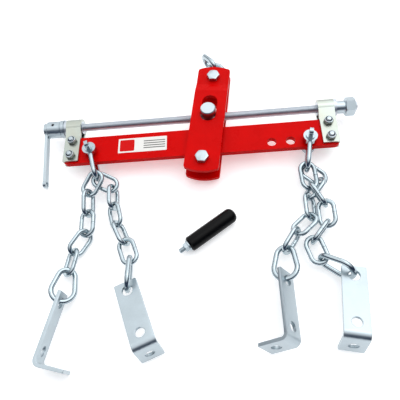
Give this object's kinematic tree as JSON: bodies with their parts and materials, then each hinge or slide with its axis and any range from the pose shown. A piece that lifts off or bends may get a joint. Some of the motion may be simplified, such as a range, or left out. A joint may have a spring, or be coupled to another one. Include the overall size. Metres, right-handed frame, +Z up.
{
  "type": "engine load leveler",
  "caption": "Engine load leveler: red steel bar with a crank-driven lead screw, a sliding tilting trolley with lifting links, and chains with corner brackets on shackles.",
  "frame": {"origin": "middle of the assembly's footprint, on the table under it", "axes": "+X along the load bar from the crank to the end nut, +Y from the bar towards the screw and lifting links, +Z up from the table"},
  "size_m": [0.5326, 0.5496, 0.0645],
  "materials": {
    "red_paint": "gloss red paint",
    "bright_zinc": "bright bluish zinc plating",
    "yellow_zinc": "pale yellow zinc plating",
    "screw_steel": "plain machined steel",
    "dark_steel": "dark spring steel",
    "black_plastic": "semi-gloss black moulding"
  },
  "bodies": {
    "bar": {"load_bar": "red_paint", "end_strap_left": "yellow_zinc", "end_strap_right": "yellow_zinc", "screw_bush_left": "screw_steel", "screw_bush_right": "screw_steel", "strap_bolts": "bright_zinc", "strap_nuts": "bright_zinc"},
    "screw": {"lead_screw": "screw_steel", "thrust_collar": "bright_zinc", "end_sleeve": "bright_zinc", "end_nut": "bright_zinc", "end_nut_pin": "dark_steel", "crank_hub": "bright_zinc", "hub_pin": "dark_steel", "crank_arm": "bright_zinc"},
    "nut": {"travel_nut": "bright_zinc"},
    "trolley": {"trolley_plate_front": "red_paint", "trolley_plate_rear": "red_paint", "lift_bolt": "bright_zinc", "lift_nut": "bright_zinc", "keeper_bolt": "bright_zinc", "keeper_nut": "bright_zinc", "keeper_spacer": "screw_steel"},
    "lift_low": {"lift_link_lower": "bright_zinc"},
    "lift_up": {"lift_link_upper": "bright_zinc"},
    "shackle_l": {"shackle_left": "bright_zinc", "shackle_pin_left": "bright_zinc"},
    "shackle_r": {"shackle_right": "bright_zinc", "shackle_pin_right": "bright_zinc"},
    "stud": {"grip_stud": "bright_zinc"},
    "grip": {"crank_grip": "black_plastic"},
    "link_a1": {"chain_a_link_1": "bright_zinc"},
    "link_a2": {"chain_a_link_2": "bright_zinc"},
    "link_a3": {"chain_a_link_3": "bright_zinc"},
    "link_a4": {"chain_a_link_4": "bright_zinc"},
    "link_a5": {"chain_a_link_5": "bright_zinc"},
    "ring_a": {"chain_a_ring": "bright_zinc"},
    "corner_a": {"bracket_a": "bright_zinc"},
    "link_b1": {"chain_b_link_1": "bright_zinc"},
    "link_b2": {"chain_b_link_2": "bright_zinc"},
    "link_b3": {"chain_b_link_3": "bright_zinc"},
    "link_b4": {"chain_b_link_4": "bright_zinc"},
    "link_b5": {"chain_b_link_5": "bright_zinc"},
    "ring_b": {"chain_b_ring": "bright_zinc"},
    "corner_b": {"bracket_b": "bright_zinc"},
    "link_c1": {"chain_c_link_1": "bright_zinc"},
    "link_c2": {"chain_c_link_2": "bright_zinc"},
    "link_c3": {"chain_c_link_3": "bright_zinc"},
    "link_c4": {"chain_c_link_4": "bright_zinc"},
    "link_c5": {"chain_c_link_5": "bright_zinc"},
    "ring_c": {"chain_c_ring": "bright_zinc"},
    "corner_c": {"bracket_c": "bright_zinc"},
    "link_d1": {"chain_d_link_1": "bright_zinc"},
    "link_d2": {"chain_d_link_2": "bright_zinc"},
    "link_d3": {"chain_d_link_3": "bright_zinc"},
    "link_d4": {"chain_d_link_4": "bright_zinc"},
    "link_d5": {"chain_d_link_5": "bright_zinc"},
    "ring_d": {"chain_d_ring": "bright_zinc"},
    "corner_d": {"bracket_d": "bright_zinc"}
  },
  "joints": [
    {"name": "screw_turn", "type": "hinge", "parent": "bar", "child": "screw", "pos_m": [0.001, 0.1251, 0.03], "axis": [1, 0, 0], "range_deg": [-10800, 18000]},
    {"name": "nut_travel", "type": "slide", "parent": "bar", "child": "nut", "axis": [1, 0, 0], "range_m": [-0.1, 0.06]},
    {"name": "trolley_tilt", "type": "hinge", "parent": "nut", "child": "trolley", "pos_m": [0.021, 0.1251, 0.03], "axis": [0, 0, 1], "range_deg": [-12, 28]},
    {"name": "lift_low_swing", "type": "hinge", "parent": "trolley", "child": "lift_low", "pos_m": [0.03195, 0.20303, 0.03], "axis": [0, 0, 1], "range_deg": [-20, 20]},
    {"name": "lift_up_swing", "type": "hinge", "parent": "lift_low", "child": "lift_up", "pos_m": [0.03738, 0.24166, 0.03], "axis": [-0.9903, 0.1392, 0], "range_deg": [-10, 20]},
    {"name": "shackle_left_swing", "type": "hinge", "parent": "bar", "child": "shackle_l", "pos_m": [-0.17842, 0.06993, 0.03], "axis": [0, 0, 1], "range_deg": [-15, 15]},
    {"name": "shackle_right_swing", "type": "hinge", "parent": "bar", "child": "shackle_r", "pos_m": [0.18057, 0.06139, 0.03], "axis": [0, 0, 1], "range_deg": [-15, 15]},
    {"name": "grip_lift", "type": "slide", "parent": "bar", "child": "stud", "axis": [0, 0, 1], "range_m": [0, 0.15]},
    {"name": "grip_spin", "type": "hinge", "parent": "stud", "child": "grip", "pos_m": [0.018, -0.0719, 0.012], "axis": [0.8231, 0.5678, 0], "continuous": true},
    {"name": "swing_a1", "type": "hinge", "parent": "shackle_l", "child": "link_a1", "pos_m": [-0.16577, 0.02272, 0.03742], "axis": [-0.1372, 0.5119, 0.848], "range_deg": [-10, 10]},
    {"name": "swing_a2", "type": "hinge", "parent": "link_a1", "child": "link_a2", "pos_m": [-0.18243, -0.00525, 0.02411], "axis": [0.8733, -0.4798, -0.0846], "range_deg": [-10, 10]},
    {"name": "swing_a3", "type": "hinge", "parent": "link_a2", "child": "link_a3", "pos_m": [-0.17888, -0.03892, 0.01641], "axis": [0.342, 0.2436, -0.9076], "range_deg": [-10, 10]},
    {"name": "swing_a4", "type": "hinge", "parent": "link_a3", "child": "link_a4", "pos_m": [-0.17929, -0.07247, 0.01441], "axis": [0.9397, -0.0317, 0.3406], "range_deg": [-10, 10]},
    {"name": "swing_a5", "type": "hinge", "parent": "link_a4", "child": "link_a5", "pos_m": [-0.19861, -0.10094, 0.01441], "axis": [0.5333, -0.3619, -0.7646], "range_deg": [-10, 10]},
    {"name": "swing_a_ring", "type": "hinge", "parent": "link_a5", "child": "ring_a", "pos_m": [-0.20323, -0.13441, 0.01299], "axis": [0.7547, -0.1314, 0.6428], "range_deg": [-10, 10]},
    {"name": "swing_a_bracket", "type": "hinge", "parent": "ring_a", "child": "corner_a", "pos_m": [-0.20612, -0.17569, 0.021], "axis": [0.8557, -0.1557, -0.4935], "range_deg": [-20, 20]},
    {"name": "swing_b1", "type": "hinge", "parent": "shackle_l", "child": "link_b1", "pos_m": [-0.16577, 0.02272, 0.02258], "axis": [0.1372, -0.5119, 0.848], "range_deg": [-10, 10]},
    {"name": "swing_b2", "type": "hinge", "parent": "link_b1", "child": "link_b2", "pos_m": [-0.13637, 0.00878, 0.01641], "axis": [0.451, 0.8763, 0.1693], "range_deg": [-10, 10]},
    {"name": "swing_b3", "type": "hinge", "parent": "link_b2", "child": "link_b3", "pos_m": [-0.13894, -0.02838, 0.01641], "axis": [0.3454, -0.0239, -0.9381], "range_deg": [-10, 10]},
    {"name": "swing_b4", "type": "hinge", "parent": "link_b3", "child": "link_b4", "pos_m": [-0.12974, -0.06065, 0.01602], "axis": [0.7386, 0.2031, 0.6428], "range_deg": [-10, 10]},
    {"name": "swing_b5", "type": "hinge", "parent": "link_b4", "child": "link_b5", "pos_m": [-0.11478, -0.0907, 0.01602], "axis": [0.3785, 0.1883, -0.9062], "range_deg": [-10, 10]},
    {"name": "swing_b_ring", "type": "hinge", "parent": "link_b5", "child": "ring_b", "pos_m": [-0.10342, -0.12215, 0.0189], "axis": [0.9343, 0.3458, 0.087], "range_deg": [-10, 10]},
    {"name": "swing_b_bracket", "type": "hinge", "parent": "ring_b", "child": "corner_b", "pos_m": [-0.10615, -0.16423, 0.0248], "axis": [0.1736, 0.1256, 0.9768], "range_deg": [-20, 20]},
    {"name": "swing_c1", "type": "hinge", "parent": "shackle_r", "child": "link_c1", "pos_m": [0.17125, 0.01342, 0.02258], "axis": [-0.1011, -0.5202, 0.848], "range_deg": [-1, 1]},
    {"name": "swing_c2", "type": "hinge", "parent": "link_c1", "child": "link_c2", "pos_m": [0.19744, -0.00492, 0.01441], "axis": [0.5891, 0.8037, 0.0844], "range_deg": [-3, 0]},
    {"name": "swing_c3", "type": "hinge", "parent": "link_c2", "child": "link_c3", "pos_m": [0.16636, -0.03302, 0.01441], "axis": [0.4352, -0.4813, 0.7609], "range_deg": [-6, 3]},
    {"name": "swing_c4", "type": "hinge", "parent": "link_c3", "child": "link_c4", "pos_m": [0.16898, -0.06742, 0.01441], "axis": [0.6428, 0.049, -0.7645], "range_deg": [-6, 6]},
    {"name": "swing_c5", "type": "hinge", "parent": "link_c4", "child": "link_c5", "pos_m": [0.14148, -0.08845, 0.01641], "axis": [0.5698, -0.7049, 0.4223], "range_deg": [-6, 6]},
    {"name": "swing_c_ring", "type": "hinge", "parent": "link_c5", "child": "ring_c", "pos_m": [0.12355, -0.11707, 0.01641], "axis": [0.2902, -0.1819, -0.9395], "range_deg": [-6, 6]},
    {"name": "swing_c_bracket", "type": "hinge", "parent": "ring_c", "child": "corner_c", "pos_m": [0.12003, -0.15868, 0.021], "axis": [0.9396, -0.0419, 0.3397], "range_deg": [-8, 20]},
    {"name": "swing_d1", "type": "hinge", "parent": "shackle_r", "child": "link_d1", "pos_m": [0.17125, 0.01342, 0.03742], "axis": [0.1011, 0.5202, 0.848], "range_deg": [-1, 1]},
    {"name": "swing_d2", "type": "hinge", "parent": "link_d1", "child": "link_d2", "pos_m": [0.17314, -0.01945, 0.02354], "axis": [0.9774, 0.1277, -0.1685], "range_deg": [-6, 1]},
    {"name": "swing_d3", "type": "hinge", "parent": "link_d2", "child": "link_d3", "pos_m": [0.1926, -0.04695, 0.01671], "axis": [-0.1164, -0.3161, 0.9416], "range_deg": [-5, 6]},
    {"name": "swing_d4", "type": "hinge", "parent": "link_d3", "child": "link_d4", "pos_m": [0.19188, -0.0808, 0.0171], "axis": [0.9397, -0.0159, 0.3417], "range_deg": [-6, 6]},
    {"name": "swing_d5", "type": "hinge", "parent": "link_d4", "child": "link_d5", "pos_m": [0.16566, -0.10471, 0.0171], "axis": [0, 0, 1], "range_deg": [-6, 6]},
    {"name": "swing_d_ring", "type": "hinge", "parent": "link_d5", "child": "ring_d", "pos_m": [0.17426, -0.13704, 0.0189], "axis": [0.9493, 0.2623, 0.1735], "range_deg": [-6, 6]},
    {"name": "swing_d_bracket", "type": "hinge", "parent": "ring_d", "child": "corner_d", "pos_m": [0.21281, -0.15769, 0.026], "axis": [-0.0471, 0.245, 0.9684], "range_deg": [-8, 20]}
  ],
  "couplings": [
    {"joint": "nut_travel", "follows": "screw_turn", "m_per_rad": -0.00031831}
  ]
}
